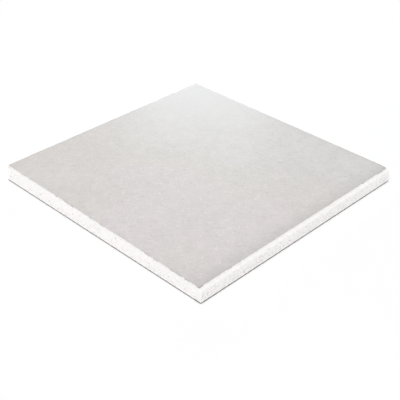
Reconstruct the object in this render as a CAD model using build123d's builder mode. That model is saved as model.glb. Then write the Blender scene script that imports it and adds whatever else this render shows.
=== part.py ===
"""Square offcut of gypsum wallboard, its face scored with a knife and its core snapped.

A white gypsum core lies between two bonded sheets of paper. The board lies flat
on its back paper, and its origin is the middle of that underside.
Sizes are in millimetres. Front is -Y, right is +X, rear is +Y and left is -X.
"""

import os

from build123d import *

# Board as manufactured: half an inch over both papers
board_thickness = 12.7
face_paper_thickness = 0.5
back_paper_thickness = 0.6

# Outline of the back paper, cut square where the core snapped
back_width = 217.0
back_length = 217.0

# How far inside the back outline each score line lies on the face. The front one
# isn't parallel to the back: it starts inside at the left and ends past it at the
# right, where the edge is undercut. The left edge is undercut a little all along.
front_set_back_at_left = 1.4
front_set_back_at_right = -0.5
right_set_back = 1.2
rear_set_back = 2.2
left_set_back = -0.3

# The right and rear edges slope only in this band below the face paper, where the
# knife and the snap broke the core away. The front and left edges slope evenly.
score_band_height = 3.2

# Upright corners: the right rear one is chipped, most of all at the face
worn_corner_radius = 0.8
chipped_corner_radius = 2.6

# Heights of the joints between the layers, and of the score band's lower edge
core_bottom = back_paper_thickness
core_top = board_thickness - face_paper_thickness
score_band_bottom = core_top - score_band_height
even_slope_at_band = (score_band_bottom - core_bottom) / (core_top - core_bottom)


def board_outline(height, even_slope, band_slope, right_rear_radius):
    """The board's outline at a height, filleted at its four upright corners.

    A slope of 0 puts an edge on the back outline and 1 puts it on its score line:
    even_slope is for the front and left edges, band_slope for the right and rear.
    """
    left = -back_width / 2 + even_slope * left_set_back
    right = back_width / 2 - band_slope * right_set_back
    rear = back_length / 2 - band_slope * rear_set_back
    front_at_left = -back_length / 2 + even_slope * front_set_back_at_left
    front_at_right = -back_length / 2 + even_slope * front_set_back_at_right
    with BuildSketch(Plane.XY.offset(height)) as outline:
        with BuildLine():
            Polyline(
                (left, front_at_left),
                (right, front_at_right),
                (right, rear),
                (left, rear),
                close=True,
            )
        make_face()
        worn_corners = outline.vertices().sort_by(Axis((0, 0, 0), (1, 1, 0)))[:-1]
        fillet(worn_corners, worn_corner_radius)
        right_rear_corner = outline.vertices().sort_by_distance((right, rear))[0]
        fillet(right_rear_corner, right_rear_radius)
    return outline.sketch


# Back paper: the back outline, on the floor
with BuildPart() as back_paper:
    add(board_outline(0, 0, 0, worn_corner_radius))
    extrude(amount=back_paper_thickness)

# Gypsum core: a loft through the back outline, the score band's lower edge and the score lines
with BuildPart() as gypsum_core:
    add(board_outline(core_bottom, 0, 0, worn_corner_radius))
    add(board_outline(score_band_bottom, even_slope_at_band, 0, worn_corner_radius))
    add(board_outline(core_top, 1, 1, chipped_corner_radius))
    loft(ruled=True)

# Face paper: cut along the score lines
with BuildPart() as face_paper:
    add(board_outline(core_top, 1, 1, chipped_corner_radius))
    extrude(amount=face_paper_thickness)

gypsum_core.part.label = "gypsum_core"
face_paper.part.label = "face_paper"
back_paper.part.label = "back_paper"

os.makedirs("parts", exist_ok=True)
for piece in (gypsum_core, face_paper, back_paper):
    export_step(piece.part, f"parts/{piece.part.label}.step")
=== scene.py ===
"""Looks of a square offcut of gypsum wallboard, laid on a pale floor.

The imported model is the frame: the outlines of the core and of both papers are read
from it, and each is made again with the broken grain, the cut fibres and the finish
of the real board. Everything is in metres. Front is -Y and right is +X.
"""

import math

import bpy
import numpy as np
from bpy.props import FloatProperty, FloatVectorProperty, IntProperty, PointerProperty
from mathutils import Matrix, Vector, kdtree
from mathutils.geometry import delaunay_2d_cdt


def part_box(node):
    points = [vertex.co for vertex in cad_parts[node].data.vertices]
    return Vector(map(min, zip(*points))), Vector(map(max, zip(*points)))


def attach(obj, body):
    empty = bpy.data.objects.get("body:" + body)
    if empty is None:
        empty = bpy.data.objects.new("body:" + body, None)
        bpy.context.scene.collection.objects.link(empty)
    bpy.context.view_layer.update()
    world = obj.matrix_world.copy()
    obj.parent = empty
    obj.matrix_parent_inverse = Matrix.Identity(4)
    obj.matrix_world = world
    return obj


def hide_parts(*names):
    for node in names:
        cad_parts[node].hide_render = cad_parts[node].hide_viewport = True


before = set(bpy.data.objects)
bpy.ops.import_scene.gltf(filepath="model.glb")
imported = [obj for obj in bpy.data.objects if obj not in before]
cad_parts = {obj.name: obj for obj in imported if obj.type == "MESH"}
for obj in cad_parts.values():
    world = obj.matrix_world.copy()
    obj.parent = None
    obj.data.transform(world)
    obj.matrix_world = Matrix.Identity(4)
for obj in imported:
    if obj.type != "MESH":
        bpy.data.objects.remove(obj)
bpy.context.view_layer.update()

bl_info = {
    "name": "Drywall offcut",
    "version": (1, 0, 0),
    "blender": (4, 5, 0),
    "location": "View3D > Sidebar > Drywall",
    "description": "Gypsum core, face paper and back paper of a scored and snapped board",
    "category": "Object",
}

MM = 0.001
BODY = "root"

# Larger air voids on the two cut edges in view: edge, distance along it, height, width
VOIDS = (
    ("front", 44 * MM, 5.7 * MM, 1.2 * MM),
    ("front", 54 * MM, 4.7 * MM, 1.1 * MM),
    ("front", 131 * MM, 8.8 * MM, 1.7 * MM),
    ("front", 165 * MM, 5.2 * MM, 1.0 * MM),
    ("front", 186 * MM, 5.2 * MM, 1.3 * MM),
    ("right", 42 * MM, 3.2 * MM, 1.1 * MM),
    ("right", 59 * MM, 6.7 * MM, 1.3 * MM),
    ("right", 92 * MM, 4.2 * MM, 1.2 * MM),
    ("right", 177 * MM, 5.7 * MM, 1.1 * MM),
)

# Rings of points that follow a paper's outline: how far inside it, and every which rim point
PAPER_RINGS = ((0.25 * MM, 1), (0.8 * MM, 2), (2.0 * MM, 4), (4.0 * MM, 6))
PAPER_GRID = 3.0 * MM
PAPER_EDGE_ROWS = 3

# How far the grain of the face paper is turned from the board's edges
PAPER_GRAIN = math.radians(-44)

# How far from each paper the core's relief starts to fade, and the share that is left at the joint
JOINT_FADE = 0.7 * MM
JOINT_RELIEF = 0.35

# How high over the back paper the core is crumbled away in front and on the left
FOOT_HEIGHT = 0.9 * MM

# How far in from a paper's edge its nicks and its dip fade out, and its hollows grow to full depth
NICK_REACH = 1.2 * MM
DIP_REACH = 2.4 * MM
HOLLOW_REACH = 12.0 * MM

# How high a nick is on the cut edge of a paper
NICK_HEIGHT = 0.35 * MM

# Where a paper's loose fibres start: how far inside its edge, and how far from its joint with the core
FIBRE_ROOT = 0.30 * MM
FIBRE_FROM_JOINT = 0.15 * MM

# How much a loose fibre points out of the board, where it leans along the edge by up to 1
FIBRE_OUTWARD = 0.05

# Faces that meet at more than this angle keep a sharp edge between them
SHARP_ANGLE = math.radians(48)

# How far below the board the floor of the picture lies, for the fine dark line where they meet
FLOOR_GAP = 0.37 * MM

# Where the shred of paper hangs: how far along the front edge from the left corner, and under the face
SHRED_ALONG = 1.6 * MM
SHRED_UNDER = 0.2 * MM

# How far the shred is rippled, and its rows and columns of points
SHRED_RIPPLE = 0.08 * MM
SHRED_ROWS = 9
SHRED_COLUMNS = 5

# The distance from the cut edge that the finish of the whole shred reads
SHRED_RIM = 1 * MM

# Corners of the face, round which the finish of its paper changes
FRONT_RIGHT = (108 * MM, -108 * MM, 12.7 * MM)
REAR_RIGHT = (107 * MM, 106 * MM, 12.7 * MM)
REAR_LEFT = (-109 * MM, 107 * MM, 12.7 * MM)
FRONT_LEFT = (-109 * MM, -107 * MM, 12.7 * MM)

# The lamps: where each is, the point that it faces, its size and its colour
KEY_LAMP = ((2.60, -4.16, 7.55), (0.0, 0.0, 0.0), 4.8, (1.0, 1.0, 1.0))
REAR_SOFTBOX = ((-0.361, 0.370, 0.150), (-0.1, 0.1, 0.0127), 0.2, (0.85, 0.945, 1.0))

# Half the width of the floor, and its paint
FLOOR_HALF = 4.0
FLOOR_PAINT = (0.965, 0.965, 0.965)


class DrywallCore(bpy.types.PropertyGroup):
    """How the gypsum is broken on its cut faces"""

    spacing: FloatProperty(
        name="Spacing", description="Distance between points on the cut faces",
        default=0.38 * MM, unit="LENGTH")
    swell_size: FloatProperty(
        name="Swell Size", description="Length of the slow waves of the snapped core",
        default=24.0 * MM, unit="LENGTH")
    swell_depth: FloatProperty(
        name="Swell Depth", description="Depth of the slow waves of the snapped core",
        default=0.30 * MM, unit="LENGTH")
    drag_length: FloatProperty(
        name="Drag Length", description="Length of the marks that the knife left along the core",
        default=7.0 * MM, unit="LENGTH")
    drag_depth: FloatProperty(
        name="Drag Depth", description="Depth of the marks that the knife left along the core",
        default=0.20 * MM, unit="LENGTH")
    crumb_size: FloatProperty(
        name="Crumb Size", description="Size of the crumbs on the broken core",
        default=1.1 * MM, unit="LENGTH")
    crumb_depth: FloatProperty(
        name="Crumb Depth", description="Depth between the crumbs",
        default=0.22 * MM, unit="LENGTH")
    bubble_spacing: FloatProperty(
        name="Bubble Spacing", description="Distance between small air bubbles in the core",
        default=2.1 * MM, unit="LENGTH")
    bubble_depth: FloatProperty(
        name="Bubble Depth", description="Depth of the small air bubbles",
        default=0.35 * MM, unit="LENGTH")
    void_depth: FloatProperty(
        name="Void Depth", description="Depth of the larger voids, as a share of their width",
        default=0.5, min=0.0, max=1.0, subtype="FACTOR")
    foot_recess: FloatProperty(
        name="Foot Recess", description="How far the core is crumbled away over the back, front and left",
        default=0.06 * MM, unit="LENGTH")
    seed: IntProperty(
        name="Seed", description="Fixes the pattern of the broken core", default=7, min=0)


class DrywallPaper(bpy.types.PropertyGroup):
    """How the two papers are cut, and how they lie"""

    ragged_depth: FloatProperty(
        name="Ragged Depth", description="Depth of the nicks in the cut edge of a paper",
        default=0.5 * MM, unit="LENGTH")
    ragged_size: FloatProperty(
        name="Ragged Size", description="Length of the nicks in the cut edge of a paper",
        default=3.0 * MM, unit="LENGTH")
    cockle_depth: FloatProperty(
        name="Cockle Depth", description="Depth of the slow hollows in a paper",
        default=0.06 * MM, unit="LENGTH")
    cockle_size: FloatProperty(
        name="Cockle Size", description="Length of the slow hollows in a paper",
        default=32.0 * MM, unit="LENGTH")
    face_dip: FloatProperty(
        name="Face Dip", description="How far the knife pressed the face paper down at its edge",
        default=0.12 * MM, unit="LENGTH")
    back_lift: FloatProperty(
        name="Back Lift", description="How far the back paper's edge is worn up off the floor",
        default=0.08 * MM, unit="LENGTH")
    seed: IntProperty(
        name="Seed", description="Fixes the pattern of the cut edges", default=3, min=0)


class DrywallFibres(bpy.types.PropertyGroup):
    """Loose fibres along the cut papers, and the shred at the front left corner"""

    spacing: FloatProperty(
        name="Spacing", description="Distance between loose fibres along an edge",
        default=1.2 * MM, unit="LENGTH")
    length: FloatProperty(
        name="Length", description="Length of the longest loose fibre",
        default=0.9 * MM, unit="LENGTH")
    slimness: FloatProperty(
        name="Slimness", description="Radius of a fibre as a share of its length",
        default=0.045, min=0.005, max=0.2, subtype="FACTOR")
    shred_width: FloatProperty(
        name="Shred Width", description="Width of the torn shred where it leaves the face paper",
        default=1.5 * MM, unit="LENGTH")
    shred_length: FloatProperty(
        name="Shred Length", description="How far the torn shred hangs down",
        default=2.1 * MM, unit="LENGTH")
    shred_thickness: FloatProperty(
        name="Shred Thickness", description="Thickness of the torn shred",
        default=0.16 * MM, unit="LENGTH")
    seed: IntProperty(
        name="Seed", description="Fixes the angle and size of each fibre", default=11, min=0)


class DrywallColours(bpy.types.PropertyGroup):
    """Colours of the board"""

    gypsum: FloatVectorProperty(
        name="Gypsum", description="Broken gypsum", subtype="COLOR", size=3,
        default=(0.945, 0.919, 0.917), min=0.0, max=1.0)
    # Painted shade: the colour that the gypsum takes down in bubbles and voids, also used for its darker
    # pores and grain and for gypsum dust
    gypsum_hollow: FloatVectorProperty(
        name="Gypsum Hollow", description="Gypsum down in a bubble", subtype="COLOR", size=3,
        default=(0.58, 0.56, 0.55), min=0.0, max=1.0)
    face_ivory: FloatVectorProperty(
        name="Face Paper, Ivory", description="Face paper where it is most ivory", subtype="COLOR",
        size=3, default=(0.641, 0.616, 0.589), min=0.0, max=1.0)
    face_rose: FloatVectorProperty(
        name="Face Paper, Rose", description="Face paper where it is warmest", subtype="COLOR",
        size=3, default=(0.659, 0.619, 0.619), min=0.0, max=1.0)
    # Painted colour of the sheen: the greyer, less warm paper towards the rear
    face_grey: FloatVectorProperty(
        name="Face Paper, Grey", description="Face paper towards the rear", subtype="COLOR",
        size=3, default=(0.641, 0.625, 0.614), min=0.0, max=1.0)
    face_ply: FloatVectorProperty(
        name="Face Ply", description="Cut edge of the face paper", subtype="COLOR", size=3,
        default=(0.905, 0.88, 0.865), min=0.0, max=1.0)
    back: FloatVectorProperty(
        name="Back Paper", description="Grey back paper", subtype="COLOR", size=3,
        default=(0.31, 0.285, 0.25), min=0.0, max=1.0)
    # Painted shade: darker than the paper's own cut edge, for the shade where the board meets the floor
    back_ply: FloatVectorProperty(
        name="Back Ply", description="Cut edge of the back paper", subtype="COLOR", size=3,
        default=(0.055, 0.052, 0.05), min=0.0, max=1.0)


class DrywallStage(bpy.types.PropertyGroup):
    """Camera, floor and light"""

    azimuth: FloatProperty(
        name="Azimuth", description="Turn of the camera round the board",
        default=math.radians(44.11), subtype="ANGLE", unit="ROTATION")
    elevation: FloatProperty(
        name="Elevation", description="Height of the camera above the board, as an angle",
        default=math.radians(33.36), subtype="ANGLE", unit="ROTATION")
    roll: FloatProperty(
        name="Roll", description="Tilt of the picture",
        default=math.radians(0.66), subtype="ANGLE", unit="ROTATION")
    distance: FloatProperty(
        name="Distance", description="Distance from the camera to the point it looks at",
        default=649.2 * MM, unit="LENGTH")
    look_at: FloatVectorProperty(
        name="Look At", description="Point that the camera looks at", size=3,
        default=(34.46 * MM, -34.03 * MM, 12.7 * MM), subtype="TRANSLATION", unit="LENGTH")
    lens: FloatProperty(
        name="Lens", description="Focal length of the camera in millimetres", default=77.74)
    sky: FloatProperty(
        name="Sky", description="Strength of the even light all round", default=0.64)
    key_power: FloatProperty(
        name="Key Power", description="Power of the large lamp in front", default=390.0, unit="POWER")
    rear_power: FloatProperty(
        name="Rear Power", description="Power of the softbox behind", default=0.257, unit="POWER")
    floor_glow: FloatProperty(
        name="Floor Glow", description="How much white covers the floor's own shading near the board",
        default=0.06, min=0.0, max=1.0, subtype="FACTOR")
    glow_start: FloatProperty(
        name="Glow Start", description="Distance from the board's middle where the white starts to rise",
        default=180.0 * MM, unit="LENGTH")
    glow_end: FloatProperty(
        name="Glow End", description="Distance from the board's middle where the floor is all white",
        default=420.0 * MM, unit="LENGTH")


class Wire:
    """An output of a node. Arithmetic on it adds Math nodes to its tree."""

    def __init__(self, graph, socket):
        self.graph = graph
        self.socket = socket

    def __add__(self, other):
        return self.graph.math("ADD", self, other)

    def __sub__(self, other):
        return self.graph.math("SUBTRACT", self, other)

    def __rsub__(self, other):
        return self.graph.math("SUBTRACT", other, self)

    def __mul__(self, other):
        return self.graph.math("MULTIPLY", self, other)

    def __truediv__(self, other):
        return self.graph.math("DIVIDE", self, other)

    def __rtruediv__(self, other):
        return self.graph.math("DIVIDE", other, self)

    __radd__ = __add__
    __rmul__ = __mul__

    def above(self, floor):
        return self.graph.math("MAXIMUM", self, floor)

    def below(self, ceiling):
        return self.graph.math("MINIMUM", self, ceiling)

    def smooth(self, low, high):
        """0 below low, 1 above high and an even S between them."""
        settings = {"interpolation_type": "SMOOTHSTEP"}
        inputs = {"Value": self, "From Min": low, "From Max": high}
        return self.graph.node("ShaderNodeMapRange", settings, inputs)

    def fade(self, low, high):
        """1 below low, 0 above high and an even S between them."""
        return 1.0 - self.smooth(low, high)


class Graph:
    """A node tree under construction, for a material or for geometry."""

    def __init__(self, tree):
        self.tree = tree

    def node(self, kind, settings=None, inputs=None, output=0):
        """Adds a node, with its settings first and then its sockets, and returns an output."""
        made = self.tree.nodes.new(kind)
        for name, value in (settings or {}).items():
            setattr(made, name, value)
        for key, value in (inputs or {}).items():
            socket = self.socket(made.inputs, key)
            if isinstance(value, Wire):
                self.tree.links.new(value.socket, socket)
            else:
                socket.default_value = value
        return Wire(self, self.socket(made.outputs, output))

    def socket(self, sockets, key):
        """The socket in use that has an index or a name."""
        in_use = [socket for socket in sockets if socket.enabled]
        return in_use[key] if isinstance(key, int) else next(s for s in in_use if s.name == key)

    def math(self, operation, *values):
        return self.node("ShaderNodeMath", {"operation": operation}, dict(enumerate(values)))

    def vector(self, x, y, z=0.0):
        return self.node("ShaderNodeCombineXYZ", None, {"X": x, "Y": y, "Z": z})

    def part(self, vector, axis):
        return self.node("ShaderNodeSeparateXYZ", None, {"Vector": vector}, axis)

    def shift(self, vector, by):
        return self.node("ShaderNodeVectorMath", {"operation": "ADD"}, {0: vector, 1: by})

    def stretch(self, vector, by):
        return self.node("ShaderNodeVectorMath", {"operation": "MULTIPLY"}, {0: vector, 1: by})

    def scale(self, vector, by):
        """A vector made longer or shorter, or a colour made lighter or darker."""
        return self.node("ShaderNodeVectorMath", {"operation": "SCALE"}, {"Vector": vector, "Scale": by})

    def turned(self, vector, angle):
        """A vector turned about Z."""
        inputs = {"Vector": vector, "Angle": angle}
        return self.node("ShaderNodeVectorRotate", {"rotation_type": "Z_AXIS"}, inputs)

    def distance(self, vector, other):
        return self.node("ShaderNodeVectorMath", {"operation": "DISTANCE"}, {0: vector, 1: other}, "Value")

    def noise(self, vector, size, detail=2.0, roughness=0.5):
        """Soft noise from 0 to 1, whose features are about size across."""
        inputs = {"Vector": vector, "Scale": 1.0 / size, "Detail": detail, "Roughness": roughness}
        return self.node("ShaderNodeTexNoise", None, inputs)

    def mix(self, factor, first, second):
        """A colour between first, at 0, and second, at 1."""
        inputs = {"Factor": factor, "A": first, "B": second}
        return self.node("ShaderNodeMix", {"data_type": "RGBA"}, inputs, "Result")

    def point_value(self, name):
        """A number that the mesh stores at its points, in a material."""
        return self.node("ShaderNodeAttribute", {"attribute_name": name}, None, "Fac")

    def stored(self, name, kind="FLOAT"):
        """A value that the mesh stores at its points, in a geometry tree."""
        return self.node("GeometryNodeInputNamedAttribute", {"data_type": kind}, {"Name": name})

    def random(self, low, high, seed):
        return self.node("FunctionNodeRandomValue", None, {"Min": low, "Max": high, "Seed": seed})


def solid_colour(value):
    """A colour with nothing see-through about it, as a colour socket takes it."""
    return (*value, 1.0)


def outlines_of(node):
    """Each height at which a CAD node has a whole outline, with its corners in order."""
    levels = {}
    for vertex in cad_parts[node].data.vertices:
        levels.setdefault(round(vertex.co.z, 5), []).append(vertex.co.xy)
    whole = len(levels[min(levels)])
    outlines = []
    for height, points in sorted(levels.items()):
        if len(points) > whole / 2:
            points = np.unique(np.round(np.array(points), 7), axis=0)
            turn = np.arctan2(points[:, 1], points[:, 0])
            outlines.append((height, points[np.argsort(turn)]))
    return outlines


def points_per_side(node, spacing):
    low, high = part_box(node)
    return round((high.x - low.x) / spacing)


def rim_points(polygon, per_side):
    """Points along an outline, as many on each side, from the middle of a corner to the next.

    They run from the left front corner along the front, right, rear and left edges, so
    point i of one of the board's outlines is over point i of another.
    """
    diagonals = ((-1, -1), (1, -1), (1, 1), (-1, 1))
    corners = [int(np.argmax(polygon @ np.array(diagonal))) for diagonal in diagonals]
    points = []
    for start, end in zip(corners, corners[1:] + corners[:1]):
        steps = (end - start) % len(polygon)
        chain = polygon[[(start + k) % len(polygon) for k in range(steps + 1)]]
        at = distance_along(chain)
        wanted = np.linspace(0, at[-1], per_side, endpoint=False)
        points.append(np.c_[np.interp(wanted, at, chain[:, 0]), np.interp(wanted, at, chain[:, 1])])
    return np.concatenate(points)


def distance_along(chain):
    return np.r_[0, np.cumsum(np.linalg.norm(np.diff(chain, axis=0), axis=1))]


def outward_of(rim):
    """Level unit vectors that point out of an outline at each of its points."""
    along = np.roll(rim, -1, axis=0) - np.roll(rim, 1, axis=0)
    out = np.c_[along[:, 1], -along[:, 0]]
    return out / np.linalg.norm(out, axis=1, keepdims=True)


def at_height(points, height):
    return np.c_[points, np.full(len(points), height)]


def ring_faces(lower, upper, count):
    """Four-sided faces that face out between two closed rings, given where each ring starts."""
    return [(lower + i, lower + (i + 1) % count, upper + (i + 1) % count, upper + i) for i in range(count)]


def new_piece(name, points, faces, edges=(), **stored):
    """A mesh object at the origin that stores values at its points."""
    mesh = bpy.data.meshes.new(name)
    mesh.from_pydata(np.asarray(points).tolist(), list(edges), faces, shade_flat=False)
    for key, values in stored.items():
        values = np.asarray(values, dtype=np.float32)
        kind, field = ("FLOAT_VECTOR", "vector") if values.ndim == 2 else ("FLOAT", "value")
        mesh.attributes.new(key, kind, "POINT").data.foreach_set(field, values.ravel())
    piece = bpy.data.objects.new(name, mesh)
    bpy.context.scene.collection.objects.link(piece)
    return piece


def make_plain(piece):
    """Leaves what a piece's modifiers make as its plain mesh."""
    graph = bpy.context.evaluated_depsgraph_get()
    mesh = bpy.data.meshes.new_from_object(
        piece.evaluated_get(graph), preserve_all_data_layers=True, depsgraph=graph)
    piece.modifiers.clear()
    piece.data = mesh
    if not mesh.polygons:
        raise RuntimeError(f"{piece.name} was left without faces")


def shape_by_nodes(piece, title, build, material, **values):
    """Shapes a piece with a geometry tree, and leaves the result as its plain mesh.

    build is given the graph, the piece's geometry and a wire for each value, and returns
    the geometry that it made.
    """
    tree = bpy.data.node_groups.new(title, "GeometryNodeTree")
    tree.interface.new_socket(name="Geometry", in_out="INPUT", socket_type="NodeSocketGeometry")
    tree.interface.new_socket(name="Geometry", in_out="OUTPUT", socket_type="NodeSocketGeometry")
    sockets = {}
    for key, value in values.items():
        kind = "NodeSocketInt" if isinstance(value, int) else "NodeSocketFloat"
        label = key.replace("_", " ").title()
        sockets[key] = tree.interface.new_socket(name=label, in_out="INPUT", socket_type=kind)
    finish = tree.interface.new_socket(name="Finish", in_out="INPUT", socket_type="NodeSocketMaterial")
    graph = Graph(tree)
    source = tree.nodes.new("NodeGroupInput")
    wires = {key: Wire(graph, source.outputs[socket.name]) for key, socket in sockets.items()}
    made = build(graph, Wire(graph, source.outputs["Geometry"]), wires)
    real = graph.node("GeometryNodeRealizeInstances", None, {"Geometry": made})
    finished = {"Geometry": real, "Material": Wire(graph, source.outputs["Finish"])}
    done = graph.node("GeometryNodeSetMaterial", None, finished)
    sink = tree.nodes.new("NodeGroupOutput")
    tree.links.new(done.socket, sink.inputs["Geometry"])

    modifier = piece.modifiers.new(title, "NODES")
    modifier.node_group = tree
    for key, socket in sockets.items():
        modifier[socket.identifier] = values[key]
    modifier[finish.identifier] = material
    make_plain(piece)


def hand_over(piece, slot, *nodes):
    """Keeps sharp edges between steep faces, rides a finished piece on the board and hides the CAD nodes
    it stands for.
    """
    piece.data.set_sharp_from_angle(angle=SHARP_ANGLE)
    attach(piece, BODY)
    if nodes:
        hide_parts(*nodes)


def break_core(g, geometry, w):
    """Pushes the cut faces in: slow swells, drag marks, crumbs, bubbles and larger voids."""
    course = g.stored("course", "FLOAT_VECTOR")
    place = g.shift(g.node("GeometryNodeInputPosition"), g.vector(w["seed"] * 0.1, 0.0))
    swell = g.noise(place, w["swell_size"])
    drag = g.noise(g.stretch(course, g.vector(1.0 / w["drag_length"], 1.0 / MM)), 1.0)
    crumbs = g.noise(place, w["crumb_size"], detail=3.0, roughness=0.6)
    # The marks are deepest in the score band, where the knife went through
    knife = g.stored("scored") * 0.6 + 0.4
    depth = swell * w["swell_depth"] + drag * knife * w["drag_depth"] + crumbs * w["crumb_depth"]

    # Each cell holds one bubble of its own radius, from 0.05 to 0.47 of the spacing
    cells = {"Vector": place, "Scale": 1.0 / w["bubble_spacing"]}
    reach = g.node("ShaderNodeTexVoronoi", None, cells, "Distance")
    chance = g.part(g.node("ShaderNodeTexVoronoi", None, cells, "Color"), "X")
    bubble = (1.0 - reach / (chance * chance * 0.42 + 0.05)).above(0.0)
    depth = depth + g.math("SQRT", bubble) * w["bubble_depth"]

    void = 0.0
    for edge, along, height, width in VOIDS:
        start = along + w["side"] if edge == "right" else along
        away = g.distance(course, g.vector(start, height)) / (width / 2)
        inside = (1.0 - away).above(0.0)
        void = g.math("MAXIMUM", inside, void)
        depth = g.math("MAXIMUM", depth, g.math("SQRT", inside) * width * w["void_depth"])

    relief = g.stored("relief")
    depth = depth * relief + g.stored("foot") * w["foot_recess"]
    inward = g.scale(g.stored("outward", "FLOAT_VECTOR"), depth * -1.0)
    moved = g.node("GeometryNodeSetPosition", None, {"Geometry": geometry, "Offset": inward})
    # How far each point is down in a bubble or void, for the painted shade that the gypsum's finish puts
    # there
    hollow = (bubble.smooth(0.0, 0.6) * 0.5 + void.smooth(0.0, 0.4)).below(1.0) * relief
    keep = {"Geometry": moved, "Name": "hollow", "Value": hollow}
    return g.node("GeometryNodeStoreNamedAttribute", {"data_type": "FLOAT", "domain": "POINT"}, keep)


def cut_paper(g, geometry, w):
    """Nicks a paper's cut edge, dips it under the knife and cockles the sheet a little."""
    place = g.node("GeometryNodeInputPosition")
    rim = g.stored("rim")
    # Only the upper half of the noise cuts in, so that the edge stays straight between its nicks
    strands = g.vector(g.stored("course") / w["ragged_size"], g.part(place, "Z") / NICK_HEIGHT, w["seed"])
    nicks = (g.noise(strands, 1.0, detail=3.0, roughness=0.6) - 0.5).above(0.0) * 2.2
    near = rim.fade(0.0, NICK_REACH)
    inward = g.scale(g.stored("outward", "FLOAT_VECTOR"), nicks * near * w["ragged_depth"] * -1.0)
    dip = rim.fade(0.0, DIP_REACH) * w["edge_dip"]
    cockle = g.noise(place, w["cockle_size"]) * rim.smooth(0.0, HOLLOW_REACH) * w["cockle_depth"]
    sunk = g.scale(g.stored("into_board", "FLOAT_VECTOR"), dip + cockle)
    return g.node("GeometryNodeSetPosition", None, {"Geometry": geometry, "Offset": g.shift(inward, sunk)})


def loose_fibres(g, geometry, w):
    """Small bent, tapered fibres along a line, each at its own angle and size."""
    bend = {"Resolution": 4, "Start": (0, 0, 0), "Middle": (0.18, 0, 0.55), "End": (-0.1, 0, 1)}
    spine = g.node("GeometryNodeCurveQuadraticBezier", None, bend)
    ring = g.node("GeometryNodeCurvePrimitiveCircle", None, {"Resolution": 5, "Radius": w["slimness"]})
    taper = 1.0 - g.node("GeometryNodeSplineParameter") * 0.8
    tube = {"Curve": spine, "Profile Curve": ring, "Scale": taper, "Fill Caps": True}
    fibre = g.node("GeometryNodeCurveToMesh", None, tube)

    line = g.node("GeometryNodeMeshToCurve", None, {"Mesh": geometry})
    spaced = {"Curve": line, "Length": w["spacing"]}
    roots = g.node("GeometryNodeResampleCurve", {"mode": "LENGTH"}, spaced)
    tangent = g.node("GeometryNodeInputTangent")
    slide = g.scale(tangent, g.random(-0.5, 0.5, w["seed"]) * w["spacing"])
    roots = g.node("GeometryNodeSetPosition", None, {"Geometry": roots, "Offset": slide})

    lean = g.scale(tangent, g.random(-1.0, 1.0, w["seed"] + 1))
    out = g.scale(g.stored("outward", "FLOAT_VECTOR"), w["outward"])
    fall = g.vector(0.0, 0.0, g.random(0.35, 0.8, w["seed"] + 2) * w["rise"])
    spin = g.vector(0.0, 0.0, g.random(0.0, math.tau, w["seed"] + 3))
    aim = {"Rotation": spin, "Vector": g.shift(g.shift(lean, out), fall)}
    turned = g.node("FunctionNodeAlignRotationToVector", {"axis": "Z"}, aim)
    size = g.random(0.35, 1.0, w["seed"] + 4) * w["length"]
    placed = {"Points": roots, "Instance": fibre, "Rotation": turned, "Scale": size}
    return g.node("GeometryNodeInstanceOnPoints", None, placed)


def start_material(name):
    """A material with an empty tree, its graph and its Object coordinates."""
    material = bpy.data.materials.new(name)
    material.use_nodes = True
    material.node_tree.nodes.clear()
    graph = Graph(material.node_tree)
    return material, graph, graph.node("ShaderNodeTexCoord", None, None, "Object")


def end_tree(graph, shader, kind="ShaderNodeOutputMaterial"):
    """Links what a material's or a world's tree has made to its output."""
    graph.tree.links.new(shader.socket, graph.tree.nodes.new(kind).inputs["Surface"])


def end_in_surface(graph, colour, roughness, specular, height, strength, depth):
    """Ends a material in one surface, whose finest relief is a bump of a strength and a depth."""
    relief = {"Strength": strength, "Distance": depth, "Height": height}
    surface = {
        "Base Color": colour,
        "Roughness": roughness,
        "Specular IOR Level": specular,
        "Normal": graph.node("ShaderNodeBump", None, relief),
    }
    end_tree(graph, graph.node("ShaderNodeBsdfPrincipled", None, surface))


def flatness(g):
    """1 on a paper's broad skin and 0 on its cut edge."""
    upright = g.part(g.node("ShaderNodeTexCoord", None, None, "Normal"), "Z")
    return g.math("ABSOLUTE", upright).smooth(0.45, 0.85)


def gypsum_material(colours):
    """Broken gypsum: near white and dull, with fine grain, painted shade down in its bubbles and voids,
    and painted light towards the top.
    """
    material, g, place = start_material("broken_gypsum")
    height = g.part(place, "Z")
    clouds = g.noise(place, 11 * MM)
    grain = g.noise(place, 0.6 * MM, detail=4.0, roughness=0.65)
    # Fine pores lie mostly in the lower part, and the upper part and the score band are made lighter as
    # painted light
    pores = g.noise(place, 1.4 * MM).smooth(0.56, 0.68) * (1.0 - height.smooth(3 * MM, 9 * MM) * 0.65)
    # Painted shade down in the bubbles and voids, with the darker pores and grain, takes the gypsum
    # towards its darker colour
    dark = (g.point_value("hollow") + pores * 0.55 + (0.55 - grain).above(0.0) * 0.4).below(1.0)
    base = g.mix(dark, solid_colour(colours.gypsum), solid_colour(colours.gypsum_hollow))
    # Painted light: the cut face is lighter towards the top and in the score band, where more light falls
    # on it
    painted_light = height.smooth(2 * MM, 11 * MM) * 0.022 + g.point_value("scored") * 0.02
    base = g.scale(base, clouds * 0.03 + painted_light + 0.974)
    end_in_surface(
        g, base, roughness=grain * 0.1 + 0.84, specular=0.25, height=grain, strength=0.6, depth=0.12 * MM)
    return material


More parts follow.
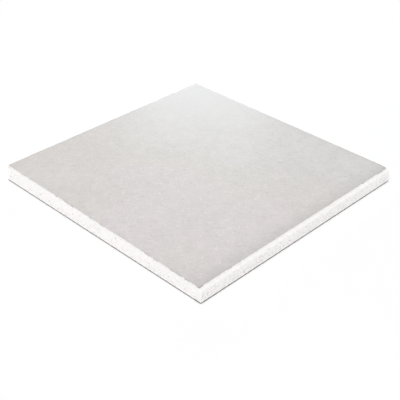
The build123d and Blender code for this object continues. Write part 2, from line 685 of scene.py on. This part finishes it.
def face_paper_material(colours):
    """Smooth pale paper: faint clouds, short light and dark flecks, edges darker in places, painted shade
    towards the right and a painted sheen tint towards the rear.
    """
    material, g, place = start_material("face_paper_finish")
    rightward = g.part(place, "X")
    rearward = g.part(place, "Y")
    tint = g.noise(place, 95 * MM).smooth(0.35, 0.65)
    base = g.mix(tint, solid_colour(colours.face_ivory), solid_colour(colours.face_rose))
    # Painted reflection: towards the rear the paper is made greyer and less warm, the colour of the sheen
    # there
    sheen_tint = (rearward - rightward * 0.25).smooth(-10 * MM, 70 * MM)
    base = g.mix(sheen_tint, base, solid_colour(colours.face_grey))

    clouds = g.noise(place, 28 * MM, detail=3.0)
    mottle = g.noise(place, 2.4 * MM, detail=3.0, roughness=0.6)
    patches = g.noise(g.shift(place, (0.7, 0.1, 0.0)), 8 * MM, detail=3.0)

    # Flecks about 4.5 by 1.5 mm that lie along the grain, and about 6 by 0.9 mm that lie across it
    grain = g.turned(place, PAPER_GRAIN)
    across = g.noise(g.stretch(grain, (1 / 4.5, 1 / 1.5, 1.0)), 1.0 * MM)
    upward = g.noise(g.stretch(g.shift(grain, (0.4, 0.2, 0.0)), (1 / 0.9, 1 / 6.0, 1.0)), 1.0 * MM)
    light = across.smooth(0.62, 0.70) + upward.smooth(0.63, 0.71)
    dark = (1.0 - across).smooth(0.63, 0.71) + (1.0 - upward).smooth(0.64, 0.72)

    # The texture is fainter towards the rear left corner
    texture = (patches - 0.5) * 0.15 + (mottle - 0.5) * 0.15 + (light - dark) * 0.11
    strength = g.distance(place, REAR_LEFT).smooth(30 * MM, 120 * MM) * 0.7 + 0.3
    share = 0.996 + (clouds - 0.5) * 0.06 + texture * strength

    # The paper is darker along every edge, most on the right and at the two right corners, and painted
    # shade darkens the whole face a little towards the right
    rim = g.point_value("rim")
    front_corner = g.distance(place, FRONT_RIGHT)
    rear_corner = g.distance(place, REAR_RIGHT)
    darker_marks_and_shade = (
        (rim.fade(0.0, 9 * MM), 0.025),
        # Painted shade: the face a little darker towards the right, as the light falls off
        (rightward.smooth(-20 * MM, 100 * MM), 0.01),
        (rightward.smooth(90 * MM, 107 * MM), 0.09),
        (front_corner.fade(5 * MM, 45 * MM), 0.04),
        (front_corner.fade(1 * MM, 5 * MM), 0.05),
        (rear_corner.fade(1.5 * MM, 6 * MM), 0.09),
    )
    for mark, darkness in darker_marks_and_shade:
        share = share - mark * darkness

    # The skin is darker in places along its cut edge, and frayed white between them in front and on the
    # right
    wear = g.noise(place, 5 * MM)
    at_right = rightward.smooth(100 * MM, 104 * MM)
    front_or_right = at_right.above(rearward.fade(-104 * MM, -100 * MM))
    darker_rim = rim.fade(0.3 * MM, 1.2 * MM) * wear.smooth(0.44, 0.60)
    frayed = rim.fade(0.2 * MM, 0.7 * MM) * (wear - at_right * 0.08).fade(0.50, 0.62)
    frayed = frayed * front_or_right * front_corner.smooth(2 * MM, 5 * MM)
    torn_tip = g.distance(place, FRONT_LEFT).fade(0.9 * MM, 1.9 * MM)
    share = share - darker_rim * 0.25
    flat = flatness(g) * (1.0 - frayed.above(torn_tip))
    base = g.mix(flat, solid_colour(colours.face_ply), g.scale(base, share))

    fibres = g.noise(place, 0.35 * MM, detail=3.0, roughness=0.7)
    end_in_surface(
        g, base, roughness=mottle * 0.08 + 0.28, specular=0.5,
        height=fibres * 0.5 + mottle, strength=0.35, depth=0.05 * MM)
    return material


def back_paper_material(colours):
    """Rough grey paper with mixed fibres. Its cut edge is dark, darker than its own grey as painted shade
    where the board meets the floor, with gypsum dust on its upper part.
    """
    material, g, place = start_material("back_paper_finish")
    clouds = g.noise(place, 18 * MM, detail=3.0)
    pulp = g.noise(place, 1.6 * MM, detail=4.0, roughness=0.7)

    # Pale fibres about 3.5 by 0.5 mm, some along X and some along Y
    strands = g.noise(g.stretch(place, (1 / 3.5, 1 / 0.5, 1.0)), 1.0 * MM, detail=3.0)
    crossed = g.stretch(g.shift(place, (0.3, 0.1, 0.0)), (1 / 0.5, 1 / 3.5, 1.0))
    pale = strands.smooth(0.60, 0.74) + g.noise(crossed, 1.0 * MM, detail=3.0).smooth(0.62, 0.76)
    share = 0.93 + (clouds - 0.5) * 0.16 + (pulp - 0.5) * 0.40 + pale * 0.16
    base = g.scale(tuple(colours.back), share)
    skin = flatness(g) * g.point_value("rim").smooth(0.3 * MM, 1.2 * MM)

    # The dust starts a little higher on the right edge, so the dark ply's painted shade reaches higher
    # there
    at_right = g.part(place, "X").smooth(100 * MM, 104 * MM)
    dust = (g.part(place, "Z") - at_right * (0.14 * MM)).smooth(0.27 * MM, 0.65 * MM)
    ply = g.mix(dust, solid_colour(colours.back_ply), solid_colour(colours.gypsum_hollow))
    end_in_surface(
        g, g.mix(skin, ply, base), roughness=pulp * 0.1 + 0.8, specular=0.3,
        height=pulp + pale * 0.4, strength=0.6, depth=0.08 * MM)
    return material


def seen_directly(g):
    """1 for a ray that shows the background itself, straight or by a reflection or through glass."""
    rays = ("Is Camera Ray", "Is Glossy Ray", "Is Transmission Ray")
    camera, glossy, through = (g.node("ShaderNodeLightPath", None, None, ray) for ray in rays)
    return (camera + glossy + through).below(1.0)


def floor_material(stage):
    """White floor that keeps the board's shadow, and fades to plain white away from it."""
    material, g, place = start_material("pale_floor")
    paint = g.node("ShaderNodeBsdfDiffuse", None, {"Color": solid_colour(FLOOR_PAINT)})
    white = g.node("ShaderNodeEmission", None, {"Color": (1.0, 1.0, 1.0, 1.0), "Strength": 1.0})
    far = g.distance(place, (0.0, 0.0, 0.0)).smooth(stage.glow_start, stage.glow_end)
    glow = far * (1.0 - stage.floor_glow) + stage.floor_glow
    lit = {0: seen_directly(g) * glow, 1: paint, 2: white}
    end_tree(g, g.node("ShaderNodeMixShader", None, lit))
    return material


def core_mesh(spacing):
    """Points, faces and stored values of the unbroken core, row by row from the back up."""
    per_side = points_per_side("gypsum_core", spacing)
    outlines = [(height, rim_points(polygon, per_side)) for height, polygon in outlines_of("gypsum_core")]
    rows = []
    for (low, lower), (high, upper) in zip(outlines, outlines[1:]):
        steps = round((high - low) / spacing)
        for share in np.linspace(0, 1, steps, endpoint=False):
            rows.append(at_height(lower + (upper - lower) * share, low + (high - low) * share))
    rows.append(at_height(outlines[-1][1], outlines[-1][0]))
    points = np.concatenate(rows)
    count = 4 * per_side
    faces = [list(range(count))[::-1]]
    for row in range(len(rows) - 1):
        faces += ring_faces(row * count, (row + 1) * count, count)
    faces.append(list(range(len(points) - count, len(points))))

    course = distance_along(rows[0][:, :2])
    bottom, top = outlines[0][0], outlines[-1][0]
    band = outlines[-2][0]
    height = points[:, 2]
    fade = np.clip(np.minimum(height - bottom, top - height) / JOINT_FADE, 0, 1)
    right_and_rear = np.isin(np.arange(count) // per_side, (1, 2))
    stored = {
        "course": np.c_[np.tile(course, len(rows)), height, np.zeros(len(points))],
        "outward": np.tile(at_height(outward_of(rows[0][:, :2]), 0.0), (len(rows), 1)),
        "relief": JOINT_RELIEF + (1 - JOINT_RELIEF) * fade * fade * (3 - 2 * fade),
        "scored": np.clip((height - band) / JOINT_FADE, 0, 1) * np.tile(right_and_rear, len(rows)),
        "foot": np.clip(1 - (height - bottom) / FOOT_HEIGHT, 0, 1) * np.tile(~right_and_rear, len(rows)),
    }
    return points, faces, stored, float(course[per_side])


def inner_points(rim, nearest):
    """Points inside a paper's outline: rings that follow it, then a grid."""
    out = outward_of(rim)
    points = []
    for inset, every in PAPER_RINGS:
        ring = (rim - inset * out)[::every]
        points += [point for point in ring if nearest(point)[1] > 0.97 * inset]
    low, high = rim.min(axis=0), rim.max(axis=0)
    clear = PAPER_RINGS[-1][0] + PAPER_GRID / 2
    for x in np.arange(low[0] + clear, high[0], PAPER_GRID):
        for y in np.arange(low[1] + clear, high[1], PAPER_GRID):
            if nearest((x, y))[1] > clear:
                points.append((x, y))
    return np.array(points)


def fill_outline(points, count):
    """Triangles between points, of which the first count are the outline that holds the rest."""
    flat = [Vector(point) for point in points / MM]
    made = delaunay_2d_cdt(flat, [], [list(range(count))], 1, 1e-6)
    if len(made[0]) != len(points):
        raise RuntimeError("points of a paper fell together")
    first = [origins[0] for origins in made[3]]
    return [tuple(first[corner] for corner in face) for face in made[2]]


def paper_mesh(node, spacing, shown_above):
    """Points, faces and stored values of a paper: two skins and the cut edge between them.

    shown_above says that its upper skin is the one that shows.
    """
    outlines = outlines_of(node)
    low, high = outlines[0][0], outlines[-1][0]
    rim = rim_points(outlines[0][1], points_per_side(node, spacing))
    count = len(rim)
    tree = kdtree.KDTree(count)
    for index, point in enumerate(rim):
        tree.insert((*point, 0.0), index)
    tree.balance()

    def nearest(point):
        """The nearest point of the rim, and how far it is."""
        return tree.find((*point, 0.0))[1:]

    flat = np.r_[rim, inner_points(rim, nearest)]
    total = len(flat)
    skin = fill_outline(flat, count)
    shares = np.linspace(0, 1, PAPER_EDGE_ROWS + 1)
    layers = [(flat, 0.0), (flat, 1.0)] + [(rim, share) for share in shares[1:-1]]
    points = np.concatenate([at_height(layer, low + (high - low) * share) for layer, share in layers])
    starts = [0] + [2 * total + k * count for k in range(PAPER_EDGE_ROWS - 1)] + [total]
    faces = [face[::-1] for face in skin]
    faces += [tuple(corner + total for corner in face) for face in skin]
    for lower, upper in zip(starts, starts[1:]):
        faces += ring_faces(lower, upper, count)

    found = [nearest(point) for point in flat]
    index = np.array([near for near, _ in found])
    distance = np.array([away for _, away in found])
    edge_rows = PAPER_EDGE_ROWS - 1
    index = np.r_[index, index, np.tile(np.arange(count), edge_rows)]
    # Dips and hollows sink the skin that shows, and leave the one on the core where it is
    raised = np.concatenate([np.full(len(layer), share) for layer, share in layers])
    into_board = -raised if shown_above else 1 - raised
    stored = {
        "rim": np.r_[distance, distance, np.zeros(count * edge_rows)],
        "course": distance_along(rim)[index],
        "outward": at_height(outward_of(rim)[index], 0.0),
        "into_board": np.c_[np.zeros((len(points), 2)), into_board],
    }
    return points, faces, stored


def edge_line(name, node, height, spacing):
    """A closed line along a paper's cut edge, for its loose fibres."""
    rim = rim_points(outlines_of(node)[0][1], points_per_side(node, spacing))
    out = outward_of(rim)
    points = at_height(rim - FIBRE_ROOT * out, height)
    edges = [(i, (i + 1) % len(rim)) for i in range(len(rim))]
    return new_piece(name, points, [], edges, outward=at_height(out, 0.0))


def shred_mesh(spacing, fibres):
    """Points and faces of a torn strip that leaves the face paper and hangs over the core."""
    _, polygon = outlines_of("face_paper")[0]
    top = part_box("face_paper")[1].z
    rim = rim_points(polygon, points_per_side("face_paper", spacing))
    root = round(SHRED_ALONG / spacing)
    out = outward_of(rim)[root]
    along = np.array((-out[1], out[0]))
    # From its root inside the edge the strip swings out, narrows and drifts to the left
    points = []
    for share in np.linspace(0, 1, SHRED_ROWS):
        reach = fibres.shred_width * (0.42 * math.sin(2.2 * share) - 0.15)
        drop = fibres.shred_length * share ** 1.4
        half = fibres.shred_width / 2 * (1 - 0.72 * share ** 1.5)
        drift = 0.22 * fibres.shred_width * share ** 2
        for side in np.linspace(-1, 1, SHRED_COLUMNS):
            ripple = SHRED_RIPPLE * math.sin(5.0 * share + 2.6 * side)
            spot = rim[root] + out * (reach + ripple) + along * (side * half - drift)
            points.append((*spot, top - SHRED_UNDER - drop))
    faces = []
    for row in range(SHRED_ROWS - 1):
        for column in range(SHRED_COLUMNS - 1):
            start = row * SHRED_COLUMNS + column
            faces.append((start, start + 1, start + SHRED_COLUMNS + 1, start + SHRED_COLUMNS))
    return points, faces


def camera_matrix(stage):
    """Where the camera stands and how it is turned."""
    turn, rise = stage.azimuth, stage.elevation
    back = Vector((math.sin(turn) * math.cos(rise), -math.cos(turn) * math.cos(rise), math.sin(rise)))
    right = Vector((math.cos(turn), math.sin(turn), 0.0))
    up = back.cross(right)
    level, tilt = math.cos(stage.roll), math.sin(stage.roll)
    matrix = Matrix((right * level + up * tilt, up * level - right * tilt, back)).transposed().to_4x4()
    matrix.translation = Vector(stage.look_at) + back * stage.distance
    return matrix


def add_lamp(name, power, place, target, size, colour):
    lamp = bpy.data.lights.new(name, "AREA")
    lamp.size = size
    lamp.energy = power
    lamp.color = colour
    holder = bpy.data.objects.new(name, lamp)
    holder.location = place
    holder.rotation_euler = (Vector(target) - Vector(place)).to_track_quat("-Z", "Y").to_euler()
    holder.visible_camera = False
    bpy.context.scene.collection.objects.link(holder)


class DRYWALL_OT_core(bpy.types.Operator):
    """Makes the gypsum core with its broken cut faces"""

    bl_idname = "drywall.core"
    bl_label = "Gypsum Core"

    def execute(self, context):
        core = context.scene.drywall_core
        points, faces, stored, side = core_mesh(core.spacing)
        piece = new_piece("broken_core", points, faces, **stored)
        finish = gypsum_material(context.scene.drywall_colours)
        values = {name: getattr(core, name) for name in DrywallCore.__annotations__ if name != "spacing"}
        shape_by_nodes(piece, "Broken Core", break_core, finish, side=side, **values)
        hand_over(piece, "gypsum", "gypsum_core")
        return {"FINISHED"}


class DRYWALL_OT_papers(bpy.types.Operator):
    """Makes the face paper and the back paper with their cut edges"""

    bl_idname = "drywall.papers"
    bl_label = "Papers"

    def execute(self, context):
        paper = context.scene.drywall_paper
        colours = context.scene.drywall_colours
        papers = (
            ("face_sheet", "face_paper", True, paper.face_dip, face_paper_material(colours)),
            ("back_sheet", "back_paper", False, paper.back_lift, back_paper_material(colours)),
        )
        for name, node, shown_above, dip, finish in papers:
            points, faces, stored = paper_mesh(node, context.scene.drywall_core.spacing, shown_above)
            piece = new_piece(name, points, faces, **stored)
            shape_by_nodes(
                piece, f"Cut {name}", cut_paper, finish, seed=paper.seed, ragged_size=paper.ragged_size,
                ragged_depth=paper.ragged_depth, edge_dip=dip,
                cockle_size=paper.cockle_size, cockle_depth=paper.cockle_depth)
            hand_over(piece, node, node)
        return {"FINISHED"}


class DRYWALL_OT_fibres(bpy.types.Operator):
    """Makes the loose fibres along both papers, and the shred at the front left corner"""

    bl_idname = "drywall.fibres"
    bl_label = "Loose Fibres"

    def execute(self, context):
        fibres = context.scene.drywall_fibres
        spacing = context.scene.drywall_core.spacing
        face = bpy.data.materials["face_paper_finish"]
        back = bpy.data.materials["back_paper_finish"]
        face_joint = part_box("face_paper")[0].z
        back_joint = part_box("back_paper")[1].z
        lines = (
            ("face_fibres", "face_paper", face_joint + FIBRE_FROM_JOINT, -1.0, face),
            ("back_fibres", "back_paper", back_joint - FIBRE_FROM_JOINT, 1.0, back),
        )
        for name, node, height, rise, finish in lines:
            piece = edge_line(name, node, height, spacing)
            shape_by_nodes(
                piece, f"Loose {name}", loose_fibres, finish, spacing=fibres.spacing, length=fibres.length,
                slimness=fibres.slimness, outward=FIBRE_OUTWARD, rise=rise, seed=fibres.seed)
            hand_over(piece, node)
        points, faces = shred_mesh(spacing, fibres)
        shred = new_piece("corner_shred", points, faces, rim=np.full(len(points), SHRED_RIM))
        shred.data.materials.append(face)
        solid = shred.modifiers.new("Thickness", "SOLIDIFY")
        solid.thickness = fibres.shred_thickness
        solid.offset = 0.0
        make_plain(shred)
        hand_over(shred, "face_paper")
        return {"FINISHED"}


class DRYWALL_OT_stage(bpy.types.Operator):
    """Makes the floor, the lamps, the world and the camera"""

    bl_idname = "drywall.stage"
    bl_label = "Floor, Light and Camera"

    def execute(self, context):
        stage = context.scene.drywall_stage
        corners = np.array([(-1, -1), (1, -1), (1, 1), (-1, 1)]) * FLOOR_HALF
        floor = new_piece("pale_floor", at_height(corners, -FLOOR_GAP), [(0, 1, 2, 3)])
        floor.data.materials.append(floor_material(stage))
        add_lamp("key", stage.key_power, *KEY_LAMP)
        add_lamp("rear_softbox", stage.rear_power, *REAR_SOFTBOX)

        world = bpy.data.worlds.new("even_light")
        world.use_nodes = True
        world.node_tree.nodes.clear()
        g = Graph(world.node_tree)
        strength = stage.sky + seen_directly(g) * (1.0 - stage.sky)
        sky = g.node("ShaderNodeBackground", None, {"Color": (1, 1, 1, 1), "Strength": strength})
        end_tree(g, sky, "ShaderNodeOutputWorld")
        context.scene.world = world
        context.scene.view_settings.view_transform = "Standard"

        lens = bpy.data.cameras.new("view")
        lens.lens = stage.lens
        camera = bpy.data.objects.new("view", lens)
        camera.matrix_world = camera_matrix(stage)
        context.scene.collection.objects.link(camera)
        context.scene.camera = camera
        return {"FINISHED"}


GROUPS = {
    "drywall_core": DrywallCore,
    "drywall_paper": DrywallPaper,
    "drywall_fibres": DrywallFibres,
    "drywall_colours": DrywallColours,
    "drywall_stage": DrywallStage,
}
STEPS = (DRYWALL_OT_core, DRYWALL_OT_papers, DRYWALL_OT_fibres, DRYWALL_OT_stage)


class DRYWALL_PT_board(bpy.types.Panel):
    """Sizes, colours and steps of the drywall offcut"""

    bl_label = "Drywall Offcut"
    bl_space_type = "VIEW_3D"
    bl_region_type = "UI"
    bl_category = "Drywall"

    def draw(self, context):
        for group in GROUPS:
            box = self.layout.box()
            for name in GROUPS[group].__annotations__:
                box.prop(getattr(context.scene, group), name)
        for step in STEPS:
            self.layout.operator(step.bl_idname)


CLASSES = (*GROUPS.values(), *STEPS, DRYWALL_PT_board)


def register():
    for kind in CLASSES:
        bpy.utils.register_class(kind)
    for name, group in GROUPS.items():
        setattr(bpy.types.Scene, name, PointerProperty(type=group))


def unregister():
    for name in GROUPS:
        delattr(bpy.types.Scene, name)
    for kind in reversed(CLASSES):
        bpy.utils.unregister_class(kind)


def main():
    register()
    bpy.ops.drywall.core()
    bpy.ops.drywall.papers()
    bpy.ops.drywall.fibres()
    bpy.ops.drywall.stage()


if __name__ == "__main__":
    main()
